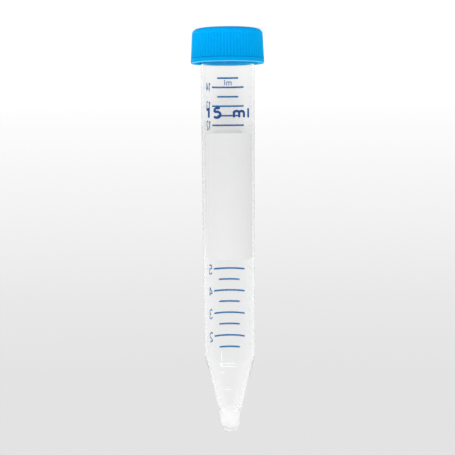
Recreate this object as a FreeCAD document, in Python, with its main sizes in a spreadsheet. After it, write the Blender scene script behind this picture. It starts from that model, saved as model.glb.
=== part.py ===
import FreeCAD, Part
import os
import Sketcher

# A 15 ml conical tube with its screw cap, in millimetres, +Z up.
# It stands on the flat top of its cap, so the cap is below and the tip of the cone is above.
# The origin is the centre of the cap's flat top. Heights in the tube start at its mouth.

SIZES = [
    # the whole
    ("overall_length", 120.0),      # from the cap's flat top to the end of the nub
    # the tube's body
    ("mouth_radius", 8.0),          # outside, at the mouth
    ("shoulder_radius", 7.55),      # outside, where the cone starts: the body has draft
    ("mouth_wall", 0.75),
    ("shoulder_wall", 0.85),        # the wall grows a little towards the cone
    ("mouth_edge", 0.15),           # chamfers at the mouth
    # the cone
    ("cone_length", 17.6),
    ("cone_end_radius", 3.1),       # outside, where the cone runs into the nub
    ("floor_radius", 1.95),         # inside, at the flat floor of the cone
    ("floor_rounding", 1.4),
    ("floor_thickness", 6.0),       # from the floor to the end of the nub
    ("shoulder_blend", 9.0),        # the large radius that eases the body into the cone
    # the solid nub at the tip, its heights counted from its own end
    ("nub_length", 5.2),
    ("nub_waist_radius", 2.85),
    ("nub_waist_height", 3.5),
    ("nub_bead_radius", 2.95),
    ("nub_bead_height", 2.2),
    ("nub_end_radius", 1.9),
    ("nub_edge", 0.3),
    ("notch_count", 24),            # small notches around the tapered end of the nub
    ("notch_width", 0.34),
    ("notch_depth", 0.25),
    ("notch_from", 0.7),
    ("notch_to", 1.5),
    # the thread on the neck, one right-hand start
    ("thread_pitch", 3.0),
    ("thread_turns", 1.4),
    ("thread_depth", 1.0),
    ("thread_root", 1.5),           # width of its section at the neck
    ("thread_crest", 0.6),          # width of its section at the crest
    ("thread_start", 1.4),          # from the mouth to the thread's near edge
    ("thread_sink", 0.25),          # how far its section reaches into the neck's wall
    # the cap
    ("cap_height", 9.9),
    ("cap_plate", 1.2),             # the flat top: the tube's mouth seats on its inside
    ("cap_wall", 1.4),              # at the rim
    ("cap_draft", 0.5),             # the skirt is this much narrower at the flat top than at the rim
    ("cap_band", 1.4),              # height of the plain band at the rim
    ("cap_rounding", 1.5),          # around the flat top
    ("rim_edge", 0.2),              # chamfers at the rim
    ("rib_count", 70),
    ("groove_width", 0.6),          # of the grooves between the ribs
    ("groove_depth", 0.22),
    ("groove_gap", 0.1),            # from the rounding to the start of the grooves
    ("thread_clearance", 0.4),      # between the neck's thread and the cap's bore
    ("plug_length", 1.5),           # the ring that seals inside the mouth
    ("plug_wall", 0.7),
    ("plug_clearance", 0.25),
    ("plug_lead", 0.3),             # chamfer that leads the ring into the mouth
]

# Two edges this close, in millimetres, are the same edge.
SAME_PLACE = 0.001

# Lengths that follow from the sizes, as expressions that the document works out.
TUBE_LENGTH = "(dim.overall_length - dim.cap_plate)"
SHOULDER = f"({TUBE_LENGTH} - dim.nub_length - dim.cone_length)"
CONE_END = f"({TUBE_LENGTH} - dim.nub_length)"
FLOOR = f"({TUBE_LENGTH} - dim.floor_thickness)"
MOUTH_BORE = "(dim.mouth_radius - dim.mouth_wall)"
CREST_RADIUS = "(dim.mouth_radius + dim.thread_depth)"
CAP_BORE = f"({CREST_RADIUS} + dim.thread_clearance)"
RIM_RADIUS = f"({CAP_BORE} + dim.cap_wall)"
TOP_RADIUS = f"({RIM_RADIUS} - dim.cap_draft)"
GROOVE_START = "(dim.cap_rounding + dim.groove_gap)"
GROOVE_END = "(dim.cap_height - dim.cap_band)"
GROOVE_START_RADIUS = f"({TOP_RADIUS} + dim.cap_draft * {GROOVE_START} / dim.cap_height)"
GROOVE_END_RADIUS = f"({RIM_RADIUS} - dim.cap_draft * dim.cap_band / dim.cap_height)"
PLUG_RADIUS = f"({MOUTH_BORE} - dim.plug_clearance)"
PLUG_BORE = f"({PLUG_RADIUS} - dim.plug_wall)"
PLUG_END = "(dim.cap_plate + dim.plug_length)"


def make_sheet(doc):
    """The spreadsheet that holds every driving size under its own name."""
    sheet = doc.addObject("Spreadsheet::Sheet", "dim")
    for row, (alias, value) in enumerate(SIZES, start=1):
        sheet.set(f"A{row}", alias)
        sheet.set(f"B{row}", str(value))
        sheet.setAlias(f"B{row}", alias)
    doc.recompute()
    return sheet


def number(holder, expression):
    """What an expression comes to now, as a plain number."""
    value = holder.evalExpression(expression)
    return float(getattr(value, "Value", value))


def origin_feature(body, role):
    """One of the body's own planes or axes."""
    return next(item for item in body.Origin.OriginFeatures if item.Role == role)


def new_sketch(body, name, role):
    """An empty sketch on one of the body's own planes."""
    sketch = body.newObject("Sketcher::SketchObject", name)
    sketch.AttachmentSupport = [(origin_feature(body, role), "")]
    sketch.MapMode = "FlatFace"
    return sketch


def hold_point(sketch, geometry, end, across, up):
    """Hold one end of a line, or a circle's centre, at two distances from the origin."""
    for kind, axis, expression in (("DistanceX", -2, across), ("DistanceY", -1, up)):
        if expression == "0":
            sketch.addConstraint(Sketcher.Constraint("PointOnObject", geometry, end, axis))
        else:
            value = number(sketch, expression)
            index = sketch.addConstraint(Sketcher.Constraint(kind, -1, 1, geometry, end, value))
            sketch.setExpression(f"Constraints[{index}]", expression)


def outline(body, name, corners):
    """A closed outline of straight runs in the upright plane, each corner given as (across, up)."""
    sketch = new_sketch(body, name, "XZ_Plane")
    points = [FreeCAD.Vector(number(sketch, across), number(sketch, up), 0) for across, up in corners]
    for index, point in enumerate(points):
        sketch.addGeometry(Part.LineSegment(point, points[(index + 1) % len(points)]), False)
    for index in range(len(points)):
        following = (index + 1) % len(points)
        sketch.addConstraint(Sketcher.Constraint("Coincident", index, 2, following, 1))
    for index, (across, up) in enumerate(corners):
        hold_point(sketch, index, 1, across, up)
    return sketch


def turned(body, name, sketch):
    """The sketch turned once around the axis of the part."""
    revolution = body.newObject("PartDesign::Revolution", name)
    revolution.Profile = sketch
    revolution.ReferenceAxis = (origin_feature(body, "Z_Axis"), [""])
    revolution.Angle = 360.0
    return revolution


def dressed(doc, body, kind, name, amount, circles):
    """Round or chamfer the circular edges of the body that lie at the given (radius, height) pairs."""
    doc.recompute()
    before = body.Tip
    wanted = [(number(before, across), number(before, up)) for across, up in circles]
    edges = []
    for index, edge in enumerate(before.Shape.Edges, start=1):
        if not isinstance(edge.Curve, Part.Circle):
            continue
        radius, height = edge.Curve.Radius, edge.Curve.Center.z
        if any(abs(radius - r) < SAME_PLACE and abs(height - z) < SAME_PLACE for r, z in wanted):
            edges.append(f"Edge{index}")
    if len(edges) != len(wanted):
        raise RuntimeError(f"{name}: {len(edges)} of {len(wanted)} edges found")
    dressing = body.newObject(f"PartDesign::{kind}", name)
    dressing.Base = (before, edges)
    dressing.setExpression("Radius" if kind == "Fillet" else "Size", amount)
    return dressing


def repeated(body, name, feature, count):
    """The feature repeated evenly around the axis of the part."""
    pattern = body.newObject("PartDesign::PolarPattern", name)
    pattern.Originals = [feature]
    pattern.Axis = (origin_feature(body, "Z_Axis"), [""])
    pattern.Angle = 360.0
    pattern.setExpression("Occurrences", count)
    body.Tip = pattern
    return pattern


def make_tube(doc):
    """The clear moulding: threaded neck, drafted body, cone and solid nub, open at the mouth."""
    body = doc.addObject("PartDesign::Body", "tube")
    body.Label = "tube"
    profile = outline(body, "tube_profile", [
        (MOUTH_BORE, "0"),
        ("dim.mouth_radius", "0"),
        ("dim.shoulder_radius", SHOULDER),
        ("dim.cone_end_radius", CONE_END),
        ("dim.nub_waist_radius", f"{TUBE_LENGTH} - dim.nub_waist_height"),
        ("dim.nub_bead_radius", f"{TUBE_LENGTH} - dim.nub_bead_height"),
        ("dim.nub_end_radius", TUBE_LENGTH),
        ("0", TUBE_LENGTH),
        ("0", FLOOR),
        ("dim.floor_radius", FLOOR),
        ("dim.shoulder_radius - dim.shoulder_wall", SHOULDER),
    ])
    turned(body, "tube_wall", profile)
    dressed(doc, body, "Fillet", "shoulder_round", "dim.shoulder_blend", [("dim.shoulder_radius", SHOULDER)])
    dressed(doc, body, "Fillet", "floor_round", "dim.floor_rounding", [("dim.floor_radius", FLOOR)])
    dressed(doc, body, "Chamfer", "nub_edge", "dim.nub_edge", [("dim.nub_end_radius", TUBE_LENGTH)])
    dressed(doc, body, "Chamfer", "mouth_edges", "dim.mouth_edge", [
        (MOUTH_BORE, "0"),
        ("dim.mouth_radius", "0"),
    ])
    cut_notches(body)
    add_thread(body)
    body.Placement = FreeCAD.Placement()
    body.setExpression("Placement.Base.z", "dim.cap_plate")
    return body


def cut_notches(body):
    """A ring of small notches that follow the tapered end of the nub."""
    taper = "(dim.nub_bead_radius - dim.nub_end_radius) / dim.nub_bead_height"
    upper_floor = f"dim.nub_end_radius + {taper} * dim.notch_from - dim.notch_depth"
    lower_floor = f"dim.nub_end_radius + {taper} * dim.notch_to - dim.notch_depth"
    outside = "dim.nub_bead_radius + dim.notch_depth"
    sketch = outline(body, "notch_profile", [
        (upper_floor, f"{TUBE_LENGTH} - dim.notch_from"),
        (outside, f"{TUBE_LENGTH} - dim.notch_from"),
        (outside, f"{TUBE_LENGTH} - dim.notch_to"),
        (lower_floor, f"{TUBE_LENGTH} - dim.notch_to"),
    ])
    notch = body.newObject("PartDesign::Pocket", "notch")
    notch.Profile = sketch
    notch.SideType = "Symmetric"
    notch.setExpression("Length", "dim.notch_width")
    repeated(body, "notches", notch, "dim.notch_count")


def add_thread(body):
    """The right-hand thread, a trapezoid carried along a helix on the neck."""
    slope = "(dim.thread_root - dim.thread_crest) / 2"
    sunk = "dim.mouth_radius - dim.thread_sink"
    sketch = outline(body, "thread_profile", [
        (sunk, "dim.thread_start"),
        ("dim.mouth_radius", "dim.thread_start"),
        (CREST_RADIUS, f"dim.thread_start + {slope}"),
        (CREST_RADIUS, f"dim.thread_start + {slope} + dim.thread_crest"),
        ("dim.mouth_radius", "dim.thread_start + dim.thread_root"),
        (sunk, "dim.thread_start + dim.thread_root"),
    ])
    helix = body.newObject("PartDesign::AdditiveHelix", "thread")
    helix.Profile = sketch
    helix.ReferenceAxis = (sketch, ["V_Axis"])
    helix.Mode = "pitch-turns-angle"
    helix.setExpression("Pitch", "dim.thread_pitch")
    helix.setExpression("Turns", "dim.thread_turns")
    helix.Angle = 0.0
    helix.LeftHanded = False
    helix.Reversed = False
    return helix


def make_cap(doc):
    """The blue moulding: flat top, ribbed skirt with a plain band at the rim, plug ring inside."""
    body = doc.addObject("PartDesign::Body", "screw_cap")
    body.Label = "screw_cap"
    profile = outline(body, "cap_profile", [
        ("0", "0"),
        (TOP_RADIUS, "0"),
        (RIM_RADIUS, "dim.cap_height"),
        (CAP_BORE, "dim.cap_height"),
        (CAP_BORE, "dim.cap_plate"),
        (PLUG_RADIUS, "dim.cap_plate"),
        (PLUG_RADIUS, PLUG_END),
        (PLUG_BORE, PLUG_END),
        (PLUG_BORE, "dim.cap_plate"),
        ("0", "dim.cap_plate"),
    ])
    turned(body, "cap_wall", profile)
    dressed(doc, body, "Fillet", "cap_round", "dim.cap_rounding", [(TOP_RADIUS, "0")])
    dressed(doc, body, "Chamfer", "rim_edges", "dim.rim_edge", [
        (RIM_RADIUS, "dim.cap_height"),
        (CAP_BORE, "dim.cap_height"),
    ])
    dressed(doc, body, "Chamfer", "plug_lead", "dim.plug_lead", [(PLUG_RADIUS, PLUG_END)])
    cut_rib_grooves(body)
    return body


def cut_rib_grooves(body):
    """V-shaped grooves down the drafted skirt, which leave the fine ribs between them."""
    path = new_sketch(body, "groove_path", "XZ_Plane")
    ends = [(GROOVE_START_RADIUS, GROOVE_START), (GROOVE_END_RADIUS, GROOVE_END)]
    line = [FreeCAD.Vector(number(path, across), number(path, up), 0) for across, up in ends]
    path.addGeometry(Part.LineSegment(*line), False)
    for end, (across, up) in enumerate(ends, start=1):
        hold_point(path, 0, end, across, up)
    section = new_sketch(body, "groove_section", "XY_Plane")
    section.setExpression("AttachmentOffset.Base.z", GROOVE_START)
    crest = number(section, GROOVE_START_RADIUS)
    depth = number(section, "dim.groove_depth")
    width = number(section, "dim.groove_width")
    points = [
        FreeCAD.Vector(crest - depth, 0, 0),
        FreeCAD.Vector(crest + depth, width, 0),
        FreeCAD.Vector(crest + depth, -width, 0),
    ]
    for index in range(3):
        section.addGeometry(Part.LineSegment(points[index], points[(index + 1) % 3]), False)
    for index in range(3):
        section.addConstraint(Sketcher.Constraint("Coincident", index, 2, (index + 1) % 3, 1))
    section.addConstraint(Sketcher.Constraint("Symmetric", 1, 1, 1, 2, -1))
    hold_point(section, 0, 1, f"{GROOVE_START_RADIUS} - dim.groove_depth", "0")
    hold_point(section, 1, 1, f"{GROOVE_START_RADIUS} + dim.groove_depth", "dim.groove_width")
    groove = body.newObject("PartDesign::SubtractivePipe", "rib_groove")
    groove.Profile = section
    groove.Spine = path
    repeated(body, "rib_grooves", groove, "dim.rib_count")


def check(doc, bodies):
    """Stop on any object that failed to compute and on any piece that isn't one valid solid."""
    doc.recompute()
    for item in doc.Objects:
        if "Invalid" in item.State or "Error" in item.State:
            raise RuntimeError(f"{item.Name} failed: {item.State}")
    for body in bodies:
        shape = body.Shape
        if shape.isNull() or not shape.isValid() or len(shape.Solids) != 1:
            raise RuntimeError(f"{body.Label} is not one valid solid")


def main():
    doc = FreeCAD.newDocument("conical_tube")
    make_sheet(doc)
    bodies = [make_tube(doc), make_cap(doc)]
    check(doc, bodies)
    os.makedirs("parts", exist_ok=True)
    for body in bodies:
        body.Shape.exportStep(f"parts/{body.Label}.step")
        box = body.Shape.optimalBoundingBox()
        print(f"{body.Label}: {body.Shape.Volume:.1f} mm3, {box.XLength:.2f} by {box.YLength:.2f} mm, "
              f"z {box.ZMin:.2f} to {box.ZMax:.2f}")


main()
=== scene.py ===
import math
import bpy
import numpy as np
from mathutils import Euler, Matrix, Vector


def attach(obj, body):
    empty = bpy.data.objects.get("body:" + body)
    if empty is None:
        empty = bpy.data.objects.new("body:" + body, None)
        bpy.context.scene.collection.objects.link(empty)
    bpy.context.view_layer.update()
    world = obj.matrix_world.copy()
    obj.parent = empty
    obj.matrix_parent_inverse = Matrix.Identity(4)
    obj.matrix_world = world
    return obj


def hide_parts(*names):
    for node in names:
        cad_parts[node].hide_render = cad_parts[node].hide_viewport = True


# A clear conical tube standing on its blue screw cap, tip up.
# Sizes are in millimetres until a mesh is made, which is in metres.
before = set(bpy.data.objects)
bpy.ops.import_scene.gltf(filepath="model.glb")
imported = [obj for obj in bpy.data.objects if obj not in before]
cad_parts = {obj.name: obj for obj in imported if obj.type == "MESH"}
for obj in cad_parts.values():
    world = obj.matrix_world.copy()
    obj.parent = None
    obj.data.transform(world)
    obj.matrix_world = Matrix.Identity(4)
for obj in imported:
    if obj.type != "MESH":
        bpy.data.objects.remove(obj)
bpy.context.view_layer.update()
mm = 0.001


def roundedRun(corners, arcSteps=7, nearlyStraight=1.57):
    # corners are (radius, height, rounding); a rounded corner becomes the circular arc that
    # touches both straight runs: centre = corner + unit bisector * rounding / sin(half the angle);
    # a corner whose half angle is nearly straight stays as it is
    run = [np.array([corners[0][:2]], float)]
    for before, here, after in zip(corners, corners[1:], corners[2:]):
        corner = np.array(here[:2], float)
        back = np.array(before[:2]) - corner
        ahead = np.array(after[:2]) - corner
        back = back / np.linalg.norm(back)
        ahead = ahead / np.linalg.norm(ahead)
        half = math.acos(np.clip(back @ ahead, -1, 1)) / 2
        if here[2] <= 0 or half > nearlyStraight:
            run.append(corner[None, :])
            continue
        bisector = (back + ahead) / np.linalg.norm(back + ahead)
        centre = corner + bisector * here[2] / math.sin(half)
        reach = here[2] / math.tan(half)
        start = corner + back * reach - centre
        end = corner + ahead * reach - centre
        turn = math.atan2(start[0] * end[1] - start[1] * end[0], start @ end)
        angle = math.atan2(start[1], start[0]) + np.linspace(0, turn, arcSteps)
        run.append(centre + here[2] * np.stack([np.cos(angle), np.sin(angle)], axis=1))
    run.append(np.array([corners[-1][:2]], float))
    return np.concatenate(run)


def guarded(run, longest=8.0, shortest=2.5, close=0.3, near=1.0):
    # each straight run over the shortest gets rows close to and near both its ends and then at even
    # distances, so that the smooth shading of a rounding stays at the rounding
    parts = [run[:1]]
    for here, there in zip(run, run[1:]):
        length = np.linalg.norm(there - here)
        if length > shortest:
            even = np.linspace(near, length - near, 2 + int(length / longest))
            places = np.r_[close, even, length - close]
            parts.append(here + (there - here) * places[:, None] / length)
        parts.append(there[None, :])
    return np.concatenate(parts)


def addLevels(run, zones):
    # a run whose height only rises gets extra rows on its own line in each zone (low, high, step)
    levels = [np.arange(low, high, step) for low, high, step in zones]
    heights = np.unique(np.round(np.concatenate([run[:, 1]] + levels), 4))
    heights = heights[(heights >= run[0, 1]) & (heights <= run[-1, 1])]
    return np.stack([np.interp(heights, run[:, 1], run[:, 0]), heights], axis=1)


def turnedRings(profile, columns, bulge=None):
    # point = ((radius + bulge(angle, height)) * cos(angle), the same * sin(angle), height)
    angle = np.arange(columns) * 2 * np.pi / columns
    radius = np.repeat(profile[:, :1], columns, axis=1)
    height = np.repeat(profile[:, 1:], columns, axis=1)
    if bulge is not None:
        radius = radius + bulge(angle[None, :], height)
    return np.stack([radius * np.cos(angle), radius * np.sin(angle), height], axis=2)


def gridFaces(rows, columns, offset=0):
    # the four-sided faces between neighbouring rows of a grid that closes on itself sideways
    row, column = np.meshgrid(np.arange(rows - 1), np.arange(columns), indexing="ij")
    ahead = (column + 1) % columns
    corners = [row * columns + column, row * columns + ahead,
               (row + 1) * columns + ahead, (row + 1) * columns + column]
    return offset + np.stack(corners, axis=2).reshape(-1, 4)


def poleFaces(ring, pole, opening):
    # a fan of triangles from one pole to a ring; opening says that the surface starts there
    ahead = np.roll(ring, -1)
    middle = np.full_like(ring, pole)
    return np.stack([middle, ahead, ring] if opening else [ring, ahead, middle], axis=1)


def addMesh(name, points, faces, body, material, sharpAt=32.0):
    # faces is a list of arrays, each with one face's point numbers in a row
    mesh = bpy.data.meshes.new(name)
    mesh.from_pydata((points * mm).tolist(), [], sum((part.tolist() for part in faces), []))
    mesh.polygons.foreach_set("use_smooth", np.ones(len(mesh.polygons), bool))
    mesh.set_sharp_from_angle(angle=math.radians(sharpAt))
    mesh.update()
    piece = bpy.data.objects.new(name, mesh)
    bpy.context.scene.collection.objects.link(piece)
    mesh.materials.append(material)
    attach(piece, body)
    print("piece:", name, len(mesh.polygons), "faces")
    return piece


def turnedPiece(name, rings, startPole, endPole, body, material):
    # the rings in order, closed by a point on the axis at each end
    rows, columns = rings.shape[:2]
    points = np.concatenate([rings.reshape(-1, 3), [startPole, endPole]])
    last = np.arange(columns) + (rows - 1) * columns
    faces = [
        gridFaces(rows, columns),
        poleFaces(np.arange(columns), rows * columns, True),
        poleFaces(last, rows * columns + 1, False),
    ]
    return addMesh(name, points, faces, body, material)


def step(value, start, end):
    # 0 before start, 1 after end, and 3t^2 - 2t^3 between them
    share = np.clip((value - start) / (end - start), 0, 1)
    return share * share * (3 - 2 * share)


def threadHeight(angle, height, thread):
    # the tallest of the turns that pass a point; a turn rises over its flanks and runs out at both
    # ends, and across = height - start - pitch * turned / full turn
    full = 2 * np.pi
    tallest = np.zeros(np.broadcast(angle, height).shape)
    for turn in range(int(thread["turns"]) + 2):
        turned = (angle - thread["startAngle"]) % full + turn * full
        across = height - thread["start"] - thread["pitch"] * turned / full
        flank = (thread["root"] - thread["crest"]) / 2
        section = np.minimum(step(across, 0, flank), step(thread["root"] - across, 0, flank))
        ends = thread["runOut"] * full
        whole = np.minimum(step(turned, 0, ends), step(thread["turns"] * full - turned, 0, ends))
        tallest = np.maximum(tallest, section * whole)
    return tallest * thread["depth"]


def newGroup(name, inputs, outputs):
    group = bpy.data.node_groups.new(name, "ShaderNodeTree")
    for label, kind, value in inputs:
        socket = group.interface.new_socket(label, in_out="INPUT", socket_type=kind)
        socket.default_value = value
    for label, kind in outputs:
        group.interface.new_socket(label, in_out="OUTPUT", socket_type=kind)
    return group, group.nodes.new("NodeGroupInput"), group.nodes.new("NodeGroupOutput")


def addNode(tree, kind, **settings):
    node = tree.nodes.new(kind)
    for name, value in settings.items():
        if name in node.inputs:
            node.inputs[name].default_value = value
        else:
            setattr(node, name, value)
    return node


skinLook = {"waveDetail": 2.0, "grainDetail": 3.0, "grainShare": 0.25, "bumpDepth": 0.00005}


def makeMouldedSkin():
    # the skin of a moulding: value = base roughness + spread * (noise - 0.5), and a shallow bump
    # from broad flow waves plus a share of fine grain; the mask is the broad waves alone
    group, given, made = newGroup("mouldedSkin", [
        ("Roughness", "NodeSocketFloat", 0.3),
        ("Spread", "NodeSocketFloat", 0.05),
        ("Wave Size", "NodeSocketFloat", 120.0),
        ("Grain Size", "NodeSocketFloat", 4000.0),
        ("Bump", "NodeSocketFloat", 0.1),
    ], [
        ("Roughness", "NodeSocketFloat"),
        ("Mask", "NodeSocketFloat"),
        ("Normal", "NodeSocketVector"),
    ])
    place = addNode(group, "ShaderNodeTexCoord")
    wave = addNode(group, "ShaderNodeTexNoise", Detail=skinLook["waveDetail"])
    grain = addNode(group, "ShaderNodeTexNoise", Detail=skinLook["grainDetail"])
    centred = addNode(group, "ShaderNodeMath", operation="SUBTRACT")
    centred.inputs[1].default_value = 0.5
    spread = addNode(group, "ShaderNodeMath", operation="MULTIPLY_ADD")
    both = addNode(group, "ShaderNodeMath", operation="MULTIPLY_ADD")
    both.inputs[1].default_value = skinLook["grainShare"]
    bump = addNode(group, "ShaderNodeBump", Distance=skinLook["bumpDepth"])
    link = group.links.new
    link(place.outputs["Object"], wave.inputs["Vector"])
    link(place.outputs["Object"], grain.inputs["Vector"])
    link(given.outputs["Wave Size"], wave.inputs["Scale"])
    link(given.outputs["Grain Size"], grain.inputs["Scale"])
    link(wave.outputs["Fac"], centred.inputs[0])
    link(centred.outputs[0], spread.inputs[0])
    link(given.outputs["Spread"], spread.inputs[1])
    link(given.outputs["Roughness"], spread.inputs[2])
    link(grain.outputs["Fac"], both.inputs[0])
    link(wave.outputs["Fac"], both.inputs[2])
    link(both.outputs[0], bump.inputs["Height"])
    link(given.outputs["Bump"], bump.inputs["Strength"])
    link(spread.outputs[0], made.inputs["Roughness"])
    link(wave.outputs["Fac"], made.inputs["Mask"])
    link(bump.outputs["Normal"], made.inputs["Normal"])
    return group


mouldedSkin = makeMouldedSkin()


def newMaterial(name):
    material = bpy.data.materials.new(name)
    material.use_nodes = True
    tree = material.node_tree
    tree.nodes.clear()
    return material, tree, tree.nodes.new("ShaderNodeOutputMaterial")


def addSkin(tree, shader, **values):
    # the moulded skin in one material, with its own values
    skin = addNode(tree, "ShaderNodeGroup")
    skin.node_tree = mouldedSkin
    for name, value in values.items():
        skin.inputs[name.replace("_", " ")].default_value = value
    tree.links.new(skin.outputs["Roughness"], shader.inputs["Roughness"])
    tree.links.new(skin.outputs["Normal"], shader.inputs["Normal"])
    return skin


def addMix(tree, low, high, share=None, **settings):
    # a colour from low to high by a share that another node gives; as MULTIPLY, low * high
    mix = addNode(tree, "ShaderNodeMix", data_type="RGBA", **settings)
    mix.inputs[6].default_value = (*low, 1)
    mix.inputs[7].default_value = (*high, 1)
    if share is not None:
        tree.links.new(share, mix.inputs[0])
    return mix


def addTint(tree, skin, shader, low, high):
    # base colour = low and high mixed by the skin's mask
    tint = addMix(tree, low, high, skin.outputs["Mask"])
    tree.links.new(tint.outputs[2], shader.inputs["Base Color"])
    return tint


def addPlace(tree):
    # the place on the object, in metres, as separate X, Y and Z
    place = addNode(tree, "ShaderNodeTexCoord")
    split = addNode(tree, "ShaderNodeSeparateXYZ")
    tree.links.new(place.outputs["Object"], split.inputs[0])
    return split


def addRise(tree, value, start, end, most=1.0, **settings):
    # 0 at start and before it, most at end and after it, both in millimetres
    rise = addNode(tree, "ShaderNodeMapRange", **settings)
    rise.inputs["From Min"].default_value = start * mm
    rise.inputs["From Max"].default_value = end * mm
    rise.inputs["To Max"].default_value = most
    tree.links.new(value, rise.inputs["Value"])
    return rise.outputs["Result"]


tubeLook = {
    "columns": 240,
    "ior": 1.49,
    "mirror": 0.15,                        # low, as its own reflections veil the print behind it
    "shade": (0.985, 0.985, 0.987),        # the colour that its shadow keeps
    "coneFrom": 97.0, "tipFrom": 112.9,    # heights where the hazy and the frosted finish start
}
# clear is the share of light that passes, and the rest is haze;
# the tints are those of its lightest and densest places
wallLook = {
    "clear": 0.995, "roughness": 0.05, "bump": 0.025,
    "tint": (0.955, 0.956, 0.958), "denseTint": (0.93, 0.932, 0.935),
}
coneLook = {
    "clear": 0.98, "roughness": 0.12, "bump": 0.03,
    "tint": (0.985, 0.985, 0.985), "denseTint": (0.97, 0.97, 0.97),
}
tipLook = {
    "clear": 0.97, "roughness": 0.7, "bump": 0.2,
    "tint": (0.998, 0.998, 0.998), "denseTint": (0.99, 0.99, 0.99),
}


def makeClearPlastic(name, look):
    # clear plastic with some haze, which lets shadow rays pass so that what is behind it is lit
    material, tree, output = newMaterial(name)
    shader = addNode(tree, "ShaderNodeBsdfPrincipled", IOR=tubeLook["ior"])
    shader.inputs["Transmission Weight"].default_value = look["clear"]
    shader.inputs["Specular Tint"].default_value = (*[tubeLook["mirror"]] * 3, 1)
    skin = addSkin(tree, shader, Roughness=look["roughness"], Spread=0.04,
                   Wave_Size=90.0, Grain_Size=2500.0, Bump=look["bump"])
    addTint(tree, skin, shader, look["tint"], look["denseTint"])
    path = addNode(tree, "ShaderNodeLightPath")
    passing = addNode(tree, "ShaderNodeBsdfTransparent")
    passing.inputs["Color"].default_value = (*tubeLook["shade"], 1)
    mix = addNode(tree, "ShaderNodeMixShader")
    tree.links.new(path.outputs["Is Shadow Ray"], mix.inputs[0])
    tree.links.new(shader.outputs[0], mix.inputs[1])
    tree.links.new(passing.outputs[0], mix.inputs[2])
    tree.links.new(mix.outputs[0], output.inputs["Surface"])
    return material


clearPlastic = makeClearPlastic("clearPlastic", wallLook)
hazyCone = makeClearPlastic("hazyCone", coneLook)
mattTip = makeClearPlastic("mattTip", tipLook)

tube = {
    "mouth": 1.2, "shoulder": 97.2, "coneEnd": 114.8, "tip": 120.0, "floor": 114.0,
    "mouthRadius": 8.0, "mouthMiddle": 7.6, "mouthBore": 7.25,
    "shoulderRadius": 7.55, "shoulderBore": 6.7, "coneEndRadius": 3.1, "floorRadius": 1.95,
    "waist": 116.5, "waistRadius": 2.85, "bead": 117.8, "beadRadius": 2.95, "endRadius": 1.9,
    "arcSteps": 9,
}
# extra rows (low, high, step) on the thread, at the start of the frosted end and on the notches
tubeRows = [(1.5, 9.6, 0.12), (112.2, 113.8, 0.3), (118.2, 119.7, 0.09)]
neckThread = {
    "startAngle": 0.0, "start": 2.6, "pitch": 3.0, "turns": 1.4, "depth": 1.0,
    "root": 1.5, "crest": 0.6, "runOut": 0.04,
}
nubNotches = {
    "count": 24, "low": 118.45, "high": 119.35, "width": 0.34, "depth": 0.22, "radius": 2.3,
    "flank": 0.1, "endFlank": 0.12,
}


def tubeBulge(angle, height):
    # thread and notches, as a height above or below the plain outer wall
    bulge = threadHeight(angle, height, neckThread)
    spacing = 2 * np.pi / nubNotches["count"]
    along = np.abs((angle / spacing) % 1 - 0.5) * spacing * nubNotches["radius"]
    flank, endFlank = nubNotches["flank"], nubNotches["endFlank"]
    inside = step(nubNotches["width"] / 2 + flank / 2 - along, 0, flank)
    inside = inside * step(height, nubNotches["low"], nubNotches["low"] + endFlank)
    inside = inside * step(-height, -nubNotches["high"], -nubNotches["high"] + endFlank)
    return bulge - inside * nubNotches["depth"]


# the outside from the mouth to the tip, as (radius, height, rounding)
outerWall = guarded(roundedRun([
    (tube["mouthMiddle"], tube["mouth"], 0),
    (tube["mouthRadius"], tube["mouth"], 0.2),
    (tube["shoulderRadius"], tube["shoulder"], 9.0),
    (tube["coneEndRadius"], tube["coneEnd"], 1.6),
    (tube["waistRadius"], tube["waist"], 1.2),
    (tube["beadRadius"], tube["bead"], 0.5),
    (tube["endRadius"], tube["tip"], 0.35),
    (0.0, tube["tip"], 0),
], tube["arcSteps"])[1:-1])


def makeTube():
    # one closed skin: down the inside from the floor to the mouth, then up the outside to the tip
    inner = guarded(roundedRun([
        (0.0, tube["floor"], 0),
        (tube["floorRadius"], tube["floor"], 1.4),
        (tube["shoulderBore"], tube["shoulder"], 7.0),
        (tube["mouthBore"], tube["mouth"], 0.18),
        (tube["mouthMiddle"], tube["mouth"], 0),
    ], tube["arcSteps"])[1:-1])
    rising = addLevels(outerWall, tubeRows)
    profile = np.concatenate([inner, [(tube["mouthMiddle"], tube["mouth"])], rising])
    smooth = turnedRings(profile, tubeLook["columns"])
    shaped = turnedRings(rising, tubeLook["columns"], tubeBulge)
    rings = np.concatenate([smooth[:-len(rising)], shaped])
    floor, tip = (0, 0, tube["floor"]), (0, 0, tube["tip"])
    piece = turnedPiece("tubeWall", rings, floor, tip, "tube", clearPlastic)
    # hazy outside on the cone, frosted on the solid end
    piece.data.materials.append(hazyCone)
    piece.data.materials.append(mattTip)
    heights = (profile[:-1, 1] + profile[1:, 1]) / 2
    outside = np.arange(len(heights)) > len(profile) - len(rising)
    zone = np.where(outside & (heights > tubeLook["coneFrom"]), 1, 0)
    zone[outside & (heights > tubeLook["tipFrom"])] = 2
    ends = np.repeat([2, 2], tubeLook["columns"])
    shares = np.concatenate([np.repeat(zone, tubeLook["columns"]), ends]).astype(np.int32)
    piece.data.polygons.foreach_set("material_index", shares)
    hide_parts("tube")


makeTube()
print("stage: tube made")


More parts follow.
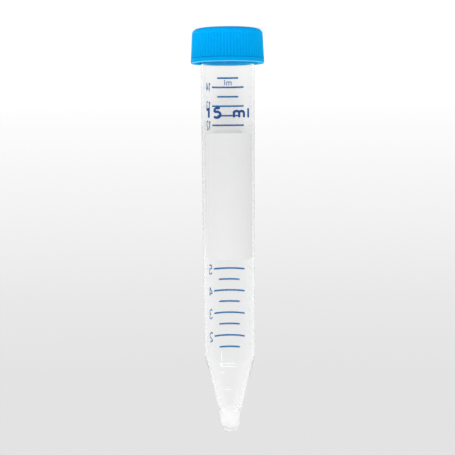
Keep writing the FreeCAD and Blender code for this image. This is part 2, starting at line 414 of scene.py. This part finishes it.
capSize = {
    "columns": 560, "ribs": 70, "height": 9.9, "plate": 1.2,
    "topRadius": 10.3, "rimRadius": 10.8, "bore": 9.4, "rounding": 1.5,
    "grooveLow": 1.6, "grooveHigh": 8.5, "grooveDepth": 0.22, "grooveWidth": 0.6,
    "grooveStart": 0.25, "grooveEnd": 0.12,           # heights over which a groove starts and ends
    "plugRadius": 7.0, "plugBore": 6.3, "plugEnd": 2.7,
    "rimMiddle": 0.6,                                 # from the bore to the middle of the rim
    "boreFoot": 0.2,                                  # from the plate to the end of the bore's wall
    "outerArcs": 9, "innerArcs": 5, "outerRun": 0.8, "innerRun": 2.0,
}
# extra rows (low, high, step) at both ends of the grooves and on the inner thread
capRows = [(1.6, 2.0, 0.05), (8.3, 8.75, 0.05)]
boreRows = [(3.6, 9.5, 0.14)]
capThread = {
    "startAngle": 0.9, "start": 3.9, "pitch": 3.0, "turns": 1.3, "depth": 0.95,
    "root": 1.4, "crest": 0.5, "runOut": 0.05,
}


capLook = {
    # the blue from side to top grows lighter towards the flat top: painted light
    "side": (0.0010, 0.385, 0.80), "top": (0.0012, 0.485, 0.99), "paintedLightHeight": 8.0,
    # the rim's colour is a painted highlight, the step's is painted shade, and the inside's is
    # painted light
    "rimHighlight": (0.16, 0.62, 0.98), "step": (0.0009, 0.25, 0.66), "inside": (0.002, 0.49, 0.99),
    "deep": (0.94, 0.955, 0.97),                      # what its denser places keep of the colour
    "mirror": 0.01, "mirrorTint": (0.02, 0.3, 0.6),
    "spread": (0.2, 0.8, 1.0),                        # how far red, green and blue scatter
    "rimHighlightHeight": 0.2, "stepHeight": 0.13, "insideHeight": 3.0,
    "outsideFrom": 10.1, "insideTo": 9.6,             # radii
}


def makeBluePlastic(name, side, top, weight=0.3, scatter=0.001):
    # soft blue moulding with painted light that makes it lighter towards its flat top, and that
    # scatters a weight of the light over about the scatter distance in metres
    material, tree, output = newMaterial(name)
    shader = addNode(tree, "ShaderNodeBsdfPrincipled")
    shader.inputs["Specular IOR Level"].default_value = capLook["mirror"]
    shader.inputs["Specular Tint"].default_value = (*capLook["mirrorTint"], 1)
    shader.inputs["Subsurface Weight"].default_value = weight
    shader.inputs["Subsurface Radius"].default_value = capLook["spread"]
    shader.inputs["Subsurface Scale"].default_value = scatter
    skin = addSkin(tree, shader, Roughness=0.50, Spread=0.08, Wave_Size=120.0,
                   Grain_Size=3000.0, Bump=0.08)
    # painted light: lighter towards the flat top
    height = addRise(tree, addPlace(tree).outputs["Z"], 0.0, capLook["paintedLightHeight"])
    even = addMix(tree, top, side, height)
    deep = addMix(tree, top, capLook["deep"], skin.outputs["Mask"], blend_type="MULTIPLY")
    tree.links.new(even.outputs[2], deep.inputs[6])
    tree.links.new(deep.outputs[2], shader.inputs["Base Color"])
    tree.links.new(shader.outputs[0], output.inputs["Surface"])
    return material


bluePlastic = makeBluePlastic("bluePlastic", capLook["side"], capLook["top"])
# a painted highlight along the rim's edge
paintedRimHighlight = makeBluePlastic("paintedRimHighlight", capLook["rimHighlight"], capLook["rimHighlight"])
ribShade = makeBluePlastic("ribShade", capLook["step"], capLook["step"])
# lighter blue inside the skirt: painted light, with more scattering through its thin wall
paintedLightInside = makeBluePlastic("paintedLightInside", capLook["inside"], capLook["inside"],
                             weight=0.6, scatter=0.004)


def ribGrooves(angle, height):
    # a rounded groove between each two ribs: depth * step(half its width - distance from middle)
    low, high = capSize["grooveLow"], capSize["grooveHigh"]
    spacing = 2 * np.pi / capSize["ribs"]
    along = np.abs((angle / spacing) % 1 - 0.5) * spacing * capSize["rimRadius"]
    cut = step(capSize["grooveWidth"] / 2 - along, 0, capSize["grooveWidth"] / 2)
    cut = cut * step(height, low, low + capSize["grooveStart"])
    return -capSize["grooveDepth"] * cut * step(-height, -high, -high + capSize["grooveEnd"])


def makeCap():
    # one closed skin: up the outside from the flat top, then down the bore and the plug ring,
    # as (radius, height, rounding)
    height, plate, bore = capSize["height"], capSize["plate"], capSize["bore"]
    plugRadius, plugBore, plugEnd = capSize["plugRadius"], capSize["plugBore"], capSize["plugEnd"]
    rimMiddle = bore + capSize["rimMiddle"]
    outer = guarded(roundedRun([
        (0.0, 0.0, 0),
        (capSize["topRadius"], 0.0, capSize["rounding"]),
        (capSize["rimRadius"], height, 0.22),
        (rimMiddle, height, 0),
    ], capSize["outerArcs"])[1:-1], capSize["outerRun"])
    outer = addLevels(outer, capRows)
    inner = guarded(roundedRun([
        (rimMiddle, height, 0),
        (bore, height, 0.2),
        (bore, plate, 0.3),
        (plugRadius, plate, 0.25),
        (plugRadius, plugEnd, 0.25),
        (plugBore, plugEnd, 0.2),
        (plugBore, plate, 0.3),
        (0.0, plate, 0),
    ], capSize["innerArcs"])[1:-1], capSize["innerRun"])
    # the thread is on the bore's wall, which the rim's inner half leads to
    walled = (inner[:, 0] > bore - 1e-4) & (inner[:, 1] > plate + capSize["boreFoot"])
    threaded = addLevels(inner[walled][::-1], boreRows)[::-1]
    rings = np.concatenate([
        turnedRings(outer, capSize["columns"], ribGrooves),
        turnedRings(threaded, capSize["columns"], lambda a, h: -threadHeight(a, h, capThread)),
        turnedRings(inner[~walled], capSize["columns"]),
    ])
    piece = turnedPiece("capShell", rings, (0, 0, 0), (0, 0, plate), "cap", bluePlastic)
    # painted highlight along the edge of the rim, painted shade in the step at the ribs' end
    piece.data.materials.append(paintedRimHighlight)
    piece.data.materials.append(ribShade)
    piece.data.materials.append(paintedLightInside)
    heights = (rings[:-1, 0, 2] + rings[1:, 0, 2]) / 2
    reach = np.linalg.norm((rings[:-1, 0, :2] + rings[1:, 0, :2]) / 2, axis=1)
    outside, inside = reach > capLook["outsideFrom"], reach < capLook["insideTo"]
    zone = np.where((heights > height - capLook["rimHighlightHeight"]) & outside, 1, 0)
    # painted light on the inside of the skirt
    zone[(heights > capLook["insideHeight"]) & inside] = 3
    zone[(np.abs(heights - capSize["grooveHigh"]) < capLook["stepHeight"]) & outside] = 2
    shares = np.concatenate([np.repeat(zone, capSize["columns"]), np.zeros(2 * capSize["columns"])])
    piece.data.polygons.foreach_set("material_index", shares.astype(np.int32))
    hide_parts("screw_cap")


makeCap()
print("stage: cap made")


inkLook = {
    "navy": (0.005, 0.050, 0.215), "thinNavy": (0.009, 0.070, 0.27),
    "blue": (0.010, 0.285, 0.72), "thinBlue": (0.015, 0.33, 0.78),
    "white": (0.72, 0.72, 0.72), "thinWhite": (0.705, 0.705, 0.705),
    # pale: painted highlights on the mould lines
    "pale": (0.93, 0.935, 0.94), "thinPale": (0.90, 0.905, 0.91),
    # grey: painted shade on the notch floors
    "grey": (0.46, 0.47, 0.48), "thinGrey": (0.55, 0.56, 0.57),
    # the back's lighter white is painted light
    "whiteBackPaintedLight": (0.97, 0.97, 0.97), "thinBack": (0.95, 0.95, 0.95),
    "mirror": 0.3,
    # a stroke's two faces lie below and above the plastic's surface, and a sheet's back over a gap
    "sunk": 0.005, "proud": 0.03, "gap": 0.008,
    "layers": 5, "layerStep": 0.002,    # crossing strokes lie on layers of their own
    "pace": 0.16, "fewestRows": 6,      # pace is the distance between the rows of a stroke
    "endRows": (0.15, 0.5, 1),          # distances from its ends, as shares of half its width
    "blunt": 0.02,                      # the least of the square of its taper
}
# painted light: where the patch's ink lightens along an axis: from, to, and the axis's share of it
paintedLightInk = {"X": (3.5, -6.0, 0.48), "Z": (38.0, 66.0, 0.52), "most": 1.105}


# painted light: the patch's white is lightened to one side and towards the cone
def addLighter(tree, tint, shader):
    # colour = tint * (1 + (most - 1) * share), where share rises to one side and towards the cone
    place = addPlace(tree)
    total = addNode(tree, "ShaderNodeMath", operation="ADD", use_clamp=True)
    for number, axis in enumerate("XZ"):
        tree.links.new(addRise(tree, place.outputs[axis], *paintedLightInk[axis]), total.inputs[number])
    most = [paintedLightInk["most"]] * 3
    lighter = addMix(tree, most, most, total.outputs[0], blend_type="MULTIPLY")
    tree.links.new(tint.outputs[2], lighter.inputs[6])
    tree.links.new(lighter.outputs[2], shader.inputs["Base Color"])


def makeInk(name, full, thin, roughness, paintedLit=False, through=0.0):
    # printed ink, a little thinner in places; through is the distance in metres over which light
    # scatters in it, so that a sheet's back takes light from its front
    material, tree, output = newMaterial(name)
    shader = addNode(tree, "ShaderNodeBsdfPrincipled")
    shader.inputs["Specular IOR Level"].default_value = inkLook["mirror"]
    skin = addSkin(tree, shader, Roughness=roughness, Spread=0.1, Wave_Size=700.0,
                   Grain_Size=6000.0, Bump=0.1)
    tint = addTint(tree, skin, shader, full, thin)
    if through:
        shader.inputs["Subsurface Weight"].default_value = 1.0
        shader.inputs["Subsurface Radius"].default_value = (1.0, 1.0, 1.0)
        shader.inputs["Subsurface Scale"].default_value = through
    if paintedLit:
        addLighter(tree, tint, shader)
    tree.links.new(shader.outputs[0], output.inputs["Surface"])
    return material


navyInk = makeInk("navyInk", inkLook["navy"], inkLook["thinNavy"], 0.5)
blueInk = makeInk("blueInk", inkLook["blue"], inkLook["thinBlue"], 0.5)
# the patch's white gets painted light
whiteInk = makeInk("whiteInk", inkLook["white"], inkLook["thinWhite"], 0.6, paintedLit=True)
# painted light: the back's white is lighter than the front's
whiteBackPaintedLight = makeInk("whiteBackPaintedLight", inkLook["whiteBackPaintedLight"], inkLook["thinBack"], 0.6, through=0.0002)
# painted highlights for the mould lines
paintedHighlightMark = makeInk("paintedHighlightMark", inkLook["pale"], inkLook["thinPale"], 0.5)
# painted shade for the notch floors
paintedShadeMark = makeInk("paintedShadeMark", inkLook["grey"], inkLook["thinGrey"], 0.6)


def onWall(along, above, lift, side):
    # along is the arc to the reader's right and above the height over the tip, both in millimetres;
    # the reader holds the tube tip down, behind it for side 1 and in front of it for side -1
    height = tube["tip"] - above
    radius = np.interp(height, outerWall[:, 1], outerWall[:, 0])
    angle = along / radius
    out = radius + lift
    return np.stack([side * out * np.sin(angle), side * out * np.cos(angle), height], axis=-1)


def inkStroke(path, width, side, layer, lift=0.0):
    # a flat strip along the path, half its width wide to each side, with rounded ends:
    # reach = half * sqrt(1 - (1 - distance from the end / half)^2)
    steps = np.r_[0, np.cumsum(np.linalg.norm(np.diff(path, axis=0), axis=1))]
    count = max(inkLook["fewestRows"], int(steps[-1] / inkLook["pace"]))
    half = width / 2
    ends = half * np.array(inkLook["endRows"])
    places = np.unique(np.r_[np.linspace(0, steps[-1], count), ends, steps[-1] - ends])
    centre = np.stack([np.interp(places, steps, path[:, k]) for k in (0, 1)], axis=1)
    tangent = np.gradient(centre, places, axis=0)
    tangent = tangent / np.linalg.norm(tangent, axis=1, keepdims=True)
    left = np.stack([-tangent[:, 1], tangent[:, 0]], axis=1)
    fromEnd = np.minimum(places, steps[-1] - places)
    taper = np.sqrt(np.clip(1 - (1 - np.clip(fromEnd / half, 0, 1)) ** 2, inkLook["blunt"], 1))
    reach = left * (half * taper)[:, None]
    low = lift - inkLook["sunk"]
    high = lift + inkLook["proud"] + inkLook["layerStep"] * layer
    corners = [(centre - reach, low), (centre - reach, high),
               (centre + reach, high), (centre + reach, low)]
    return np.stack([onWall(at[:, 0], at[:, 1], level, side) for at, level in corners], axis=1)


def inkPiece(name, strokes, side, material, lift=0.0):
    # strokes are (path, width); each is a tube of four points a row with a face at both ends
    points, faces, offset = [], [], 0
    for number, (path, width) in enumerate(strokes):
        rings = inkStroke(path, width, side, number % inkLook["layers"], lift)
        count = len(rings)
        faces.append(gridFaces(count, 4, offset)[:, ::-1])
        last = 4 * (count - 1)
        faces.append(offset + np.array([[3, 0, 1, 2], [last + 2, last + 1, last, last + 3]]))
        points.append(rings.reshape(-1, 3))
        offset += 4 * count
    return addMesh(name, np.concatenate(points), faces, "tube", material)


def arc(x, y, wide, high, start, end, count=17):
    # an arc of an ellipse, its angles in degrees counted from the reader's right
    angle = np.radians(np.linspace(start, end, count))
    return np.stack([x + wide * np.cos(angle), y + high * np.sin(angle)], axis=1)


def line(*corners):
    return np.array(corners, float)


# strokes of plain numerals and letters in a box of height 1
glyphs = {
    "0": (0.60, [arc(0.30, 0.50, 0.26, 0.47, 90, 450, 33)]),
    "1": (0.42, [line((0.06, 0.76), (0.28, 0.97)), line((0.28, 0.99), (0.28, 0.02))]),
    "2": (0.60, [np.concatenate([arc(0.29, 0.71, 0.25, 0.26, 165, -30), line((0.06, 0.05))]),
                 line((0.04, 0.04), (0.56, 0.04))]),
    "3": (0.60, [arc(0.28, 0.745, 0.23, 0.225, 155, -90), arc(0.28, 0.27, 0.26, 0.24, 90, -155)]),
    "4": (0.62, [line((0.44, 0.02), (0.44, 0.98)), line((0.43, 0.96), (0.04, 0.28)),
                 line((0.03, 0.28), (0.60, 0.28))]),
    "5": (0.60, [line((0.52, 0.96), (0.13, 0.96)), line((0.13, 0.96), (0.09, 0.54)),
                 arc(0.28, 0.32, 0.26, 0.29, 130, -150)]),
    "6": (0.60, [arc(0.30, 0.30, 0.25, 0.27, 90, 450, 29), arc(0.55, 0.33, 0.50, 0.64, 95, 180)]),
    "7": (0.58, [line((0.04, 0.96), (0.54, 0.96)), line((0.54, 0.96), (0.20, 0.02))]),
    "8": (0.60, [arc(0.30, 0.745, 0.21, 0.225, 90, 450, 29),
                 arc(0.30, 0.27, 0.26, 0.24, 90, 450, 29)]),
    "9": (0.60, [arc(0.30, 0.70, 0.25, 0.27, 90, 450, 29), arc(0.05, 0.67, 0.50, 0.64, -85, 0)]),
    "m": (0.90, [line((0.06, 0.02), (0.06, 0.68)),
                 np.concatenate([arc(0.25, 0.48, 0.19, 0.18, 180, 0), line((0.44, 0.02))]),
                 np.concatenate([arc(0.63, 0.48, 0.19, 0.18, 180, 0), line((0.82, 0.02))])]),
    "l": (0.16, [line((0.06, 0.02), (0.06, 0.98))]),
    " ": (0.30, []),
}


def written(text, left, base, tall, weight, squeeze=1.0, gap=0.16):
    # each glyph's strokes, scaled by the letter height and set one after another
    strokes, at = [], left
    for letter in text:
        wide, parts = glyphs[letter]
        for part in parts:
            place = np.array([at, base]) + part * np.array([tall * squeeze, tall])
            strokes.append((place, weight))
        at += (wide + gap) * tall * squeeze
    return strokes


scaleLook = {
    "highest": 14.5, "lowest": 1.5, "interval": 0.5,
    "longReach": 42.0, "shortReach": 26.5,   # degrees each side of the middle
    "wallRadius": 7.75, "lineWidth": 0.52, "linePoints": 25,
    "figureWidth": 0.42, "figureHeight": 2.9, "figureStart": 6.35,
    # of figures with one digit and with two: their share of the height, and their squeeze
    "oneDigit": (1.0, 1.25), "twoDigits": (0.92, 0.80),
    # the lowest mark's height over the tip, and how far each further millilitre rises
    "first": 24.33, "rise": 7.227, "slowing": 0.0828, "easing": 0.000906,
}
unitLook = {
    "text": "ml", "left": -1.25, "mark": 14, "over": 0.55, "tall": 1.75, "weight": 0.26,
    "squeeze": 1.15, "gap": 0.14,
}


def markHeight(volume):
    # height over the tip = first + v * (rise - v * (slowing - easing * v)),
    # where v is the volume above the lowest mark
    beyond = volume - scaleLook["lowest"]
    slowing = scaleLook["slowing"] - scaleLook["easing"] * beyond
    return scaleLook["first"] + beyond * (scaleLook["rise"] - beyond * slowing)


def makeScale():
    # a long mark and a figure at each whole millilitre, a short mark between them, and the unit
    strokes = []
    count = int(round((scaleLook["highest"] - scaleLook["lowest"]) / scaleLook["interval"])) + 1
    for volume in np.linspace(scaleLook["lowest"], scaleLook["highest"], count):
        whole = abs(volume - round(volume)) < 0.1
        above = markHeight(volume)
        degrees = scaleLook["longReach" if whole else "shortReach"]
        reach = math.radians(degrees) * scaleLook["wallRadius"]
        run = np.linspace(-reach, reach, scaleLook["linePoints"])
        strokes.append((np.stack([run, np.full_like(run, above)], axis=1), scaleLook["lineWidth"]))
        if whole:
            text = str(int(round(volume)))
            share, squeeze = scaleLook["twoDigits" if len(text) > 1 else "oneDigit"]
            tall = scaleLook["figureHeight"] * share
            strokes += written(text, scaleLook["figureStart"], above - tall / 2, tall,
                               scaleLook["figureWidth"], squeeze)
    strokes += written(unitLook["text"], unitLook["left"],
                       markHeight(unitLook["mark"]) + unitLook["over"], unitLook["tall"],
                       unitLook["weight"], unitLook["squeeze"], unitLook["gap"])
    inkPiece("scalePrint", strokes, 1, blueInk)


frontLook = {
    "text": "15 ml", "left": -7.3, "base": 94.12, "tall": 2.95, "weight": 0.75,
    "squeeze": 1.42, "gap": 0.26,
}


def makeFrontPrint():
    strokes = written(frontLook["text"], frontLook["left"], frontLook["base"], frontLook["tall"],
                      frontLook["weight"], frontLook["squeeze"], frontLook["gap"])
    inkPiece("frontPrint", strokes, -1, navyInk)


# painted highlights on lines left by the mould on the front of the cone and the shoulder,
# each as its (along, above) ends and its width
mouldLineHighlights = [
    (line((-1.74, 22.32), (1.21, 22.32)), 0.24), (line((-2.84, 21.28), (1.86, 21.28)), 0.30),
    (line((-3.10, 21.75), (-1.95, 22.15)), 0.50), (line((-2.37, 22.9), (-2.37, 26.0)), 0.26),
    (line((-2.87, 19.40), (-1.53, 19.45)), 0.26), (line((-1.81, 13.95), (0.98, 13.95)), 0.26),
    (line((4.10, 17.20), (5.30, 17.10)), 0.24), (line((4.10, 16.10), (5.30, 15.95)), 0.24),
]


def makeMouldLines():
    inkPiece("mouldLineHighlights", mouldLineHighlights, -1, paintedHighlightMark)


# a notch floor is half a height up and down from its middle, a share of the notch wide, and sunk
floorLook = {"half": 0.3, "share": 0.8, "sunk": 0.01}


def makeNotchFloors():
    # painted shade on the floors of the notches round the tip
    half, width = floorLook["half"], nubNotches["width"] * floorLook["share"]
    spacing = 2 * math.pi / nubNotches["count"]
    middle = tube["tip"] - (nubNotches["low"] + nubNotches["high"]) / 2
    radius = float(np.interp(tube["tip"] - middle, outerWall[:, 1], outerWall[:, 0]))
    floors = []
    for number in range(nubNotches["count"]):
        turn = ((number + 0.5) * spacing + math.pi / 2) % (2 * math.pi) - math.pi
        at = turn * radius
        floors.append((line((at, middle - half), (at, middle + half)), width))
    inkPiece("notchFloors", floors, -1, paintedShadeMark, -nubNotches["depth"] - floorLook["sunk"])


def inkSheet(name, along, above, material):
    # a thin closed sheet over a grid of places on the front of the wall, whiter on its back:
    # painted light
    sheets = [onWall(along, above, lift, -1) for lift in (inkLook["proud"], inkLook["gap"])]
    rows, columns = along.shape
    row, column = np.meshgrid(np.arange(rows - 1), np.arange(columns - 1), indexing="ij")
    here, beyond = row * columns + column, (row + 1) * columns + column
    front = np.stack([here, here + 1, beyond + 1, beyond], axis=2).reshape(-1, 4)
    back = front[:, ::-1] + rows * columns
    edge = np.concatenate([
        np.arange(columns),
        np.arange(1, rows) * columns + columns - 1,
        (rows - 1) * columns + np.arange(columns - 2, -1, -1),
        np.arange(rows - 2, 0, -1) * columns,
    ])
    ahead = np.roll(edge, -1)
    side = np.stack([edge, edge + rows * columns, ahead + rows * columns, ahead], axis=1)
    piece = addMesh(name, np.concatenate([sheet.reshape(-1, 3) for sheet in sheets]),
                    [front, back, side], "tube", material)
    piece.data.materials.append(whiteBackPaintedLight)
    shares = np.repeat([0, 1, 0], [len(front), len(back), len(side)]).astype(np.int32)
    piece.data.polygons.foreach_set("material_index", shares)


patchLook = {
    "left": -7.5, "right": 8.5, "bottom": 52.9, "top": 89.7,
    "corner": 1.2, "cornerStart": 0.12, "cornerRows": 8, "columns": 73,
}


def makePatch():
    # a rounded rectangle: at each height the sides draw in by corner - sqrt(corner^2 - into^2),
    # where into is the depth into the corner
    bottom, top, corner = patchLook["bottom"], patchLook["top"], patchLook["corner"]
    turn = np.linspace(patchLook["cornerStart"], np.pi / 2, patchLook["cornerRows"])
    bend = corner * (1 - np.cos(turn))
    heights = np.concatenate([bottom + bend, (top - bend)[::-1]])
    into = np.clip(corner - np.minimum(heights - bottom, top - heights), 0, None)
    draw = corner - np.sqrt(np.clip(corner ** 2 - into ** 2, 0, None))
    across = np.linspace(0, 1, patchLook["columns"])[None, :]
    left = (patchLook["left"] + draw)[:, None]
    right = (patchLook["right"] - draw)[:, None]
    along = left + (right - left) * across
    inkSheet("writingPatch", along, np.repeat(heights[:, None], across.shape[1], axis=1), whiteInk)


shadeLook = {
    "half": 4.3, "tall": 1.7, "over": 0.03, "pale": 0.645, "dark": 0.57, "mirror": 0.1,
    "rows": 7, "columns": 41,
    "reach": 0.48,          # 0.5 would reach the arc's ends
}


def makePatchShade():
    # a shaded strip over the patch, its top an arc: height = tall * sqrt(1 - (along / half)^2)
    rows, reach = shadeLook["rows"], shadeLook["reach"]
    across = np.sin(np.linspace(-reach, reach, shadeLook["columns"]) * np.pi) * shadeLook["half"]
    tall = shadeLook["tall"] * np.sqrt(1 - (across / shadeLook["half"]) ** 2)
    above = patchLook["top"] + shadeLook["over"] + np.linspace(0, 1, rows)[:, None] * tall
    material, tree, output = newMaterial("shadeInk")
    shader = addNode(tree, "ShaderNodeBsdfPrincipled")
    shader.inputs["Specular IOR Level"].default_value = shadeLook["mirror"]
    addSkin(tree, shader, Roughness=0.6, Spread=0.1, Wave_Size=300.0, Grain_Size=6000.0, Bump=0.05)
    start = tube["tip"] - patchLook["top"]
    fade = addRise(tree, addPlace(tree).outputs["Z"], start - shadeLook["tall"], start,
                   interpolation_type="SMOOTHSTEP")
    colour = addMix(tree, [shadeLook["pale"]] * 3, [shadeLook["dark"]] * 3, fade)
    tree.links.new(colour.outputs[2], shader.inputs["Base Color"])
    tree.links.new(shader.outputs[0], output.inputs["Surface"])
    inkSheet("patchShade", np.repeat(across[None, :], rows, axis=0), above, material)


makeScale()
makeFrontPrint()
makePatch()
makePatchShade()
makeMouldLines()
makeNotchFloors()
print("stage: print made")


# ramps are (place, grey level) stops
studio = {
    "floorRadius": 4.0, "floorColour": (0.95, 0.95, 0.95), "floorGlow": 1.06,
    "floorPoints": 96,
    "floorShade": 0.22,     # the share of its shadow that the floor keeps

    # the light on diffuse surfaces, by direction from -x to +x
    "ambient": [(0.0, 0.72), (0.5, 0.97), (1.0, 0.92)],

    # the surroundings in glass and reflections, by bearing from behind to in front, times those
    # by the direction's height
    "around": [
        (0.0, 0.90), (0.013, 0.905), (0.05, 0.96), (0.10, 0.97), (0.17, 0.985), (1.0, 0.985),
    ],
    "above": [(0.0, 0.86), (0.03, 0.89), (0.09, 0.92), (0.12, 1.0)],

    # the floor in glass, by distance as a share of its radius, and how far it stays white
    # by bearing
    "away": [
        (0.0, 1.0), (0.047, 0.932), (0.068, 0.863), (0.10, 0.817), (0.15, 0.765), (0.39, 0.735),
        (1.0, 0.72),
    ],
    "aside": [(0.0, 0.0), (0.006, 0.0), (0.035, 0.65), (1.0, 0.65)],

    # what the camera sees: the floor by distance, and the surroundings by the direction's height
    "far": [
        (0.0, 1.0), (0.14, 1.0), (0.225, 0.966), (0.29, 0.957), (0.53, 0.953), (0.72, 0.945),
        (1.0, 0.94),
    ],
    "fade": [
        (0.0, 0.966), (0.033, 0.93), (0.080, 0.888), (0.115, 0.855), (0.162, 0.807),
        (0.203, 0.784), (0.232, 0.768),
    ],
}


def seenShare(tree):
    # 1 for rays that show a surface: from the camera, in a reflection or through glass
    path = addNode(tree, "ShaderNodeLightPath")
    total = addNode(tree, "ShaderNodeMath", operation="ADD")
    whole = addNode(tree, "ShaderNodeMath", operation="ADD", use_clamp=True)
    tree.links.new(path.outputs["Is Camera Ray"], total.inputs[0])
    tree.links.new(path.outputs["Is Glossy Ray"], total.inputs[1])
    tree.links.new(total.outputs[0], whole.inputs[0])
    tree.links.new(path.outputs["Is Transmission Ray"], whole.inputs[1])
    return whole.outputs[0]


def addGreys(tree, levels, value):
    # a ramp through (place, grey level), read at a value
    ramp = addNode(tree, "ShaderNodeValToRGB")
    stops = ramp.color_ramp.elements
    while len(stops) < len(levels):
        stops.new(0.5)
    for stop, (place, level) in zip(stops, levels):
        stop.position = place
        stop.color = (level, level, level, 1)
    tree.links.new(value, ramp.inputs[0])
    return ramp.outputs["Color"]


def addBearing(tree, split):
    # bearing = arctan2(|x|, y) / pi: 0 behind the part and 1 in front of it
    aside = addNode(tree, "ShaderNodeMath", operation="ABSOLUTE")
    bearing = addNode(tree, "ShaderNodeMath", operation="ARCTAN2")
    turned = addNode(tree, "ShaderNodeMath", operation="DIVIDE")
    turned.inputs[1].default_value = math.pi
    tree.links.new(split.outputs["X"], aside.inputs[0])
    tree.links.new(aside.outputs[0], bearing.inputs[0])
    tree.links.new(split.outputs["Y"], bearing.inputs[1])
    tree.links.new(bearing.outputs[0], turned.inputs[0])
    return turned.outputs[0]


def makeFloor():
    # a flat disc, mostly plain white to the camera, that keeps a share of the shadow; in glass it
    # darkens with distance, less so to the sides
    white = (1, 1, 1)
    material, tree, output = newMaterial("floorWhite")
    link = tree.links.new
    diffuse = addNode(tree, "ShaderNodeBsdfDiffuse")
    diffuse.inputs["Color"].default_value = (*studio["floorColour"], 1)
    plain = addNode(tree, "ShaderNodeEmission", Strength=studio["floorGlow"])
    place = addNode(tree, "ShaderNodeTexCoord")
    away = addNode(tree, "ShaderNodeVectorMath", operation="LENGTH")
    reach = addNode(tree, "ShaderNodeMath", operation="DIVIDE")
    reach.inputs[1].default_value = studio["floorRadius"]
    link(place.outputs["Object"], away.inputs[0])
    link(away.outputs["Value"], reach.inputs[0])
    aside = addGreys(tree, studio["aside"], addBearing(tree, addPlace(tree)))
    lighter = addMix(tree, white, white, aside)
    link(addGreys(tree, studio["away"], reach.outputs[0]), lighter.inputs[6])
    path = addNode(tree, "ShaderNodeLightPath")
    level = addMix(tree, white, white, path.outputs["Is Camera Ray"])
    link(lighter.outputs[2], level.inputs[6])
    link(addGreys(tree, studio["far"], reach.outputs[0]), level.inputs[7])
    link(level.outputs[2], plain.inputs["Color"])
    share = addNode(tree, "ShaderNodeMath", operation="MULTIPLY")
    share.inputs[1].default_value = 1 - studio["floorShade"]
    mix = addNode(tree, "ShaderNodeMixShader")
    link(seenShare(tree), share.inputs[0])
    link(share.outputs[0], mix.inputs[0])
    link(diffuse.outputs[0], mix.inputs[1])
    link(plain.outputs[0], mix.inputs[2])
    link(mix.outputs[0], output.inputs["Surface"])
    count = studio["floorPoints"]
    angle = np.arange(count) * 2 * np.pi / count
    ring = np.stack([np.cos(angle), np.sin(angle), np.zeros(count)], axis=1) * studio["floorRadius"]
    mesh = bpy.data.meshes.new("floor")
    mesh.from_pydata(ring.tolist(), [], [list(range(count))])
    mesh.materials.append(material)
    floor = bpy.data.objects.new("floor", mesh)
    bpy.context.scene.collection.objects.link(floor)


def makeSurroundings():
    # to the camera they fade from white at the floor's edge to light grey higher up; other rays
    # get the even light, and rays through glass or from a reflection their own greys
    world = bpy.data.worlds.new("studio")
    bpy.context.scene.world = world
    world.use_nodes = True
    tree = world.node_tree
    tree.nodes.clear()
    link = tree.links.new
    output = tree.nodes.new("ShaderNodeOutputWorld")
    place = addNode(tree, "ShaderNodeTexCoord")
    split = addNode(tree, "ShaderNodeSeparateXYZ")
    link(place.outputs["Generated"], split.inputs[0])
    sideways = addNode(tree, "ShaderNodeMapRange")
    sideways.inputs["From Min"].default_value = -1.0
    link(split.outputs["X"], sideways.inputs["Value"])
    glassLevel = addNode(tree, "ShaderNodeMix", data_type="RGBA", blend_type="MULTIPLY")
    glassLevel.inputs[0].default_value = 1.0
    link(addGreys(tree, studio["around"], addBearing(tree, split)), glassLevel.inputs[6])
    link(addGreys(tree, studio["above"], split.outputs["Z"]), glassLevel.inputs[7])
    seenLevel = addNode(tree, "ShaderNodeMix", data_type="RGBA")
    path = addNode(tree, "ShaderNodeLightPath")
    link(path.outputs["Is Camera Ray"], seenLevel.inputs[0])
    link(glassLevel.outputs[2], seenLevel.inputs[6])
    link(addGreys(tree, studio["fade"], split.outputs["Z"]), seenLevel.inputs[7])
    even = addNode(tree, "ShaderNodeBackground", Strength=1.0)
    seen = addNode(tree, "ShaderNodeBackground", Strength=1.0)
    link(addGreys(tree, studio["ambient"], sideways.outputs["Result"]), even.inputs["Color"])
    link(seenLevel.outputs[2], seen.inputs["Color"])
    mix = addNode(tree, "ShaderNodeMixShader")
    link(seenShare(tree), mix.inputs[0])
    link(even.outputs[0], mix.inputs[1])
    link(seen.outputs[0], mix.inputs[2])
    link(mix.outputs[0], output.inputs["Surface"])


# name, place and side of the square in metres, power in watts
lamps = [
    ("frontLamp", (0.16, -0.62, 0.14), 0.40, 0.7),
    ("topLamp", (0.10, 0.05, 0.75), 0.50, 1.0),
]
lampTarget = (0, 0, 0.05)


def makeLamps():
    target = Vector(lampTarget)
    for name, place, wide, power in lamps:
        data = bpy.data.lights.new(name, "AREA")
        data.size = wide
        data.energy = power
        lamp = bpy.data.objects.new(name, data)
        lamp.visible_camera = lamp.visible_transmission = lamp.visible_glossy = False
        lamp.location = place
        lamp.rotation_euler = (target - Vector(place)).to_track_quat("-Z", "Y").to_euler()
        bpy.context.scene.collection.objects.link(lamp)


# place and clip in metres, angles in degrees, focal and imageWidth in one unit
view = {
    "place": (0.0, -0.300, 0.03075), "pitch": 5.234, "lean": -0.46, "turnAside": -0.075,
    "focal": 1010.8, "imageWidth": 455, "sensorWidth": 36.0, "clip": (0.01, 20.0),
}


def makeCamera():
    # the camera hangs head down, so that the part shows tip down; pitch looks up from level
    data = bpy.data.cameras.new("camera")
    data.sensor_width = view["sensorWidth"]
    data.lens = view["focal"] / view["imageWidth"] * view["sensorWidth"]
    data.clip_start, data.clip_end = view["clip"]
    camera = bpy.data.objects.new("camera", data)
    turn = Matrix.Rotation(math.radians(view["turnAside"]), 4, "Z")
    look = turn @ Euler((math.radians(90 + view["pitch"]), 0, 0)).to_matrix().to_4x4()
    roll = Matrix.Rotation(math.radians(180 + view["lean"]), 4, "Z")
    camera.matrix_world = Matrix.Translation(view["place"]) @ look @ roll
    bpy.context.scene.collection.objects.link(camera)
    bpy.context.scene.camera = camera


makeFloor()
makeSurroundings()
makeLamps()
makeCamera()
bpy.context.scene.view_settings.view_transform = "Standard"
print("stage: studio made")
